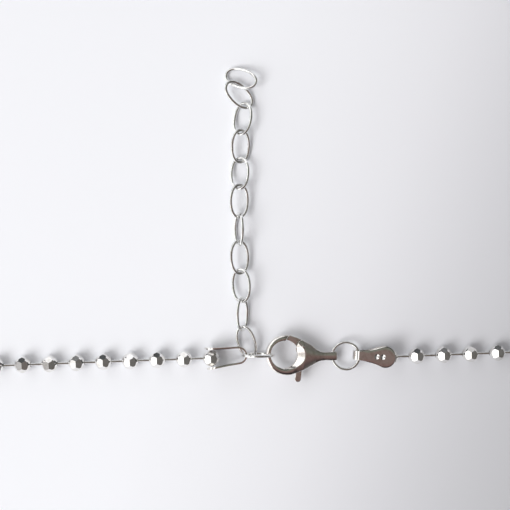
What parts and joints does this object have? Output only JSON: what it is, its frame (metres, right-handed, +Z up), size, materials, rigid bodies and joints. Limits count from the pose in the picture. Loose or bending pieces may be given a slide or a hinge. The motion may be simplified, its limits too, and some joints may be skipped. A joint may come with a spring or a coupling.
{
  "type": "bead chain necklace",
  "caption": "Silver necklace of faceted hollow beads on short rods, with folded end connectors, a lobster clasp with a sprung lever, and an extender of oval links.",
  "frame": {"origin": "on the table, under the middle of the box round the whole laid-out necklace", "axes": "+X along the necklace's long way, from the extender's side towards the clasp's side; +Y along the extender towards its free end; +Z up from the table"},
  "size_m": [0.1634, 0.1221, 0.0058],
  "materials": {
    "beads": "polished silver, faceted",
    "rods": "polished silver",
    "connectors": "polished silver strip",
    "wire": "polished silver wire",
    "clasp": "polished cast silver",
    "lever": "polished cast silver"
  },
  "bodies": {
    "necklace": {"bead_string": "beads", "bead_rods": "rods", "left_end_connector": "connectors", "right_end_connector": "connectors", "closing_ring": "wire", "clasp_jump_ring": "wire", "clasp_body": "clasp", "lever_pin": "lever", "extender_link_01": "wire", "extender_link_02": "wire", "extender_link_03": "wire", "extender_link_04": "wire", "extender_link_05": "wire", "extender_link_06": "wire", "extender_link_07": "wire", "extender_link_08": "wire", "extender_link_09": "wire", "extender_link_10": "wire", "extender_link_11": "wire"},
    "lever": {"clasp_lever": "lever"}
  },
  "joints": [
    {"name": "clasp_lever_hinge", "type": "hinge", "parent": "necklace", "child": "lever", "pos_m": [0.00615, 0.01234, 0.00181], "axis": [0.1288, 0, 0.9917], "range_deg": [0, 16], "stiffness_Nm_per_rad": 0.005, "springref_deg": -34.38}
  ]
}
